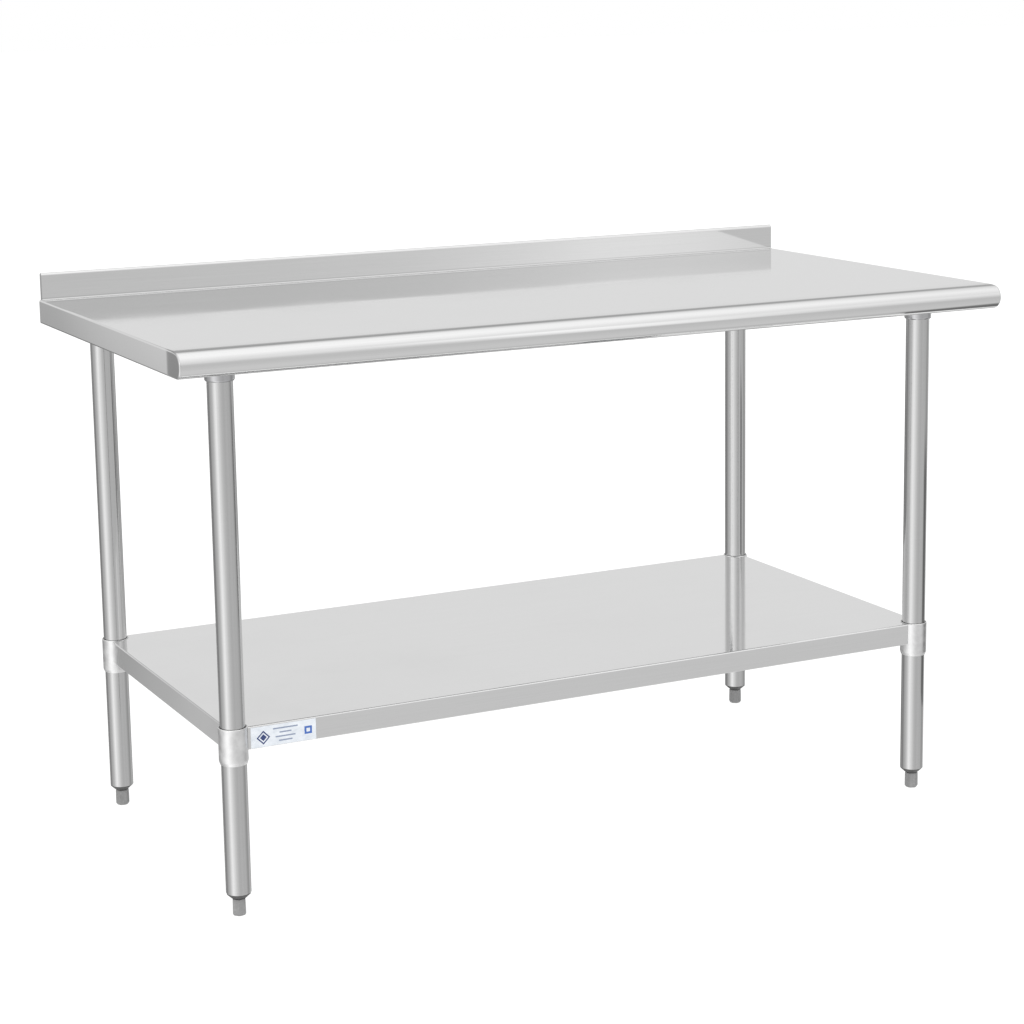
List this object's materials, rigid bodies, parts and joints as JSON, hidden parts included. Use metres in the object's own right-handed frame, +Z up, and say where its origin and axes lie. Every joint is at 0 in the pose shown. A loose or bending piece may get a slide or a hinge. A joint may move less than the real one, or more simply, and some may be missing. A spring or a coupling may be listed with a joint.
{
  "type": "stainless work table",
  "caption": "Stainless steel kitchen work table with a rolled front edge, a low rear upstand, an undershelf on tubular legs and screw-adjusted feet.",
  "frame": {"origin": "on the floor, under the centre of the worktop", "axes": "+X along the table's length to the right as seen from the front, +Y towards the upstand at the rear, +Z up"},
  "size_m": [1.524, 0.762, 0.988],
  "materials": {
    "sheet_top": "satin brushed stainless sheet",
    "sheet_shelf": "satin brushed stainless sheet",
    "channel": "galvanised sheet",
    "tube": "polished stainless tube",
    "socket": "bright plated steel",
    "casting": "tumbled die casting",
    "fastener": "zinc plated",
    "foot_plastic": "moulded grey",
    "insert_plastic": "moulded grey",
    "tape": "butyl damping tape",
    "sticker": "printed film"
  },
  "bodies": {
    "frame": {"worktop": "sheet_top", "cross_channel_left": "channel", "cross_channel_right": "channel", "deck_channel_front": "channel", "deck_channel_rear": "channel", "damping_tape_left": "tape", "damping_tape_right": "tape", "damping_tape_front": "tape", "damping_tape_rear": "tape", "socket_bolts": "fastener", "socket_nuts": "fastener", "socket_grub_screws": "fastener", "leg_socket_front_left": "socket", "leg_front_left": "tube", "foot_insert_front_left": "insert_plastic", "leg_socket_front_right": "socket", "leg_front_right": "tube", "foot_insert_front_right": "insert_plastic", "leg_socket_rear_left": "socket", "leg_rear_left": "tube", "foot_insert_rear_left": "insert_plastic", "leg_socket_rear_right": "socket", "leg_rear_right": "tube", "foot_insert_rear_right": "insert_plastic"},
    "shelf": {"undershelf": "sheet_shelf", "shelf_channel": "channel", "shelf_damping_tape": "tape", "shelf_bracket_front_left": "casting", "shelf_bracket_front_right": "casting", "shelf_bracket_rear_left": "casting", "shelf_bracket_rear_right": "casting", "bracket_weld_studs": "fastener", "bracket_nuts": "fastener", "bracket_grub_screws": "fastener", "shelf_label": "sticker"},
    "stud_front_left": {"foot_stud_front_left": "fastener"},
    "sole_front_left": {"foot_front_left": "foot_plastic"},
    "stud_front_right": {"foot_stud_front_right": "fastener"},
    "sole_front_right": {"foot_front_right": "foot_plastic"},
    "stud_rear_left": {"foot_stud_rear_left": "fastener"},
    "sole_rear_left": {"foot_rear_left": "foot_plastic"},
    "stud_rear_right": {"foot_stud_rear_right": "fastener"},
    "sole_rear_right": {"foot_rear_right": "foot_plastic"}
  },
  "joints": [
    {"name": "shelf_height", "type": "slide", "parent": "frame", "child": "shelf", "axis": [0, 0, 1], "range_m": [-0.2, 0.45]},
    {"name": "front_left_foot_height", "type": "slide", "parent": "frame", "child": "stud_front_left", "axis": [0, 0, -1], "range_m": [-0.001, 0.024]},
    {"name": "front_left_foot_turn", "type": "hinge", "parent": "stud_front_left", "child": "sole_front_left", "pos_m": [-0.661, -0.272, 0], "axis": [0, 0, -1], "range_deg": [-210, 4945]},
    {"name": "front_right_foot_height", "type": "slide", "parent": "frame", "child": "stud_front_right", "axis": [0, 0, -1], "range_m": [-0.001, 0.024]},
    {"name": "front_right_foot_turn", "type": "hinge", "parent": "stud_front_right", "child": "sole_front_right", "pos_m": [0.661, -0.272, 0], "axis": [0, 0, -1], "range_deg": [-210, 4945]},
    {"name": "rear_left_foot_height", "type": "slide", "parent": "frame", "child": "stud_rear_left", "axis": [0, 0, -1], "range_m": [-0.001, 0.024]},
    {"name": "rear_left_foot_turn", "type": "hinge", "parent": "stud_rear_left", "child": "sole_rear_left", "pos_m": [-0.661, 0.35, 0], "axis": [0, 0, -1], "range_deg": [-210, 4945]},
    {"name": "rear_right_foot_height", "type": "slide", "parent": "frame", "child": "stud_rear_right", "axis": [0, 0, -1], "range_m": [-0.001, 0.024]},
    {"name": "rear_right_foot_turn", "type": "hinge", "parent": "stud_rear_right", "child": "sole_rear_right", "pos_m": [0.661, 0.35, 0], "axis": [0, 0, -1], "range_deg": [-210, 4945]}
  ],
  "couplings": [
    {"joint": "front_left_foot_turn", "follows": "front_left_foot_height", "rad_per_m": 3590.4},
    {"joint": "front_right_foot_turn", "follows": "front_right_foot_height", "rad_per_m": 3590.4},
    {"joint": "rear_left_foot_turn", "follows": "rear_left_foot_height", "rad_per_m": 3590.4},
    {"joint": "rear_right_foot_turn", "follows": "rear_right_foot_height", "rad_per_m": 3590.4}
  ]
}
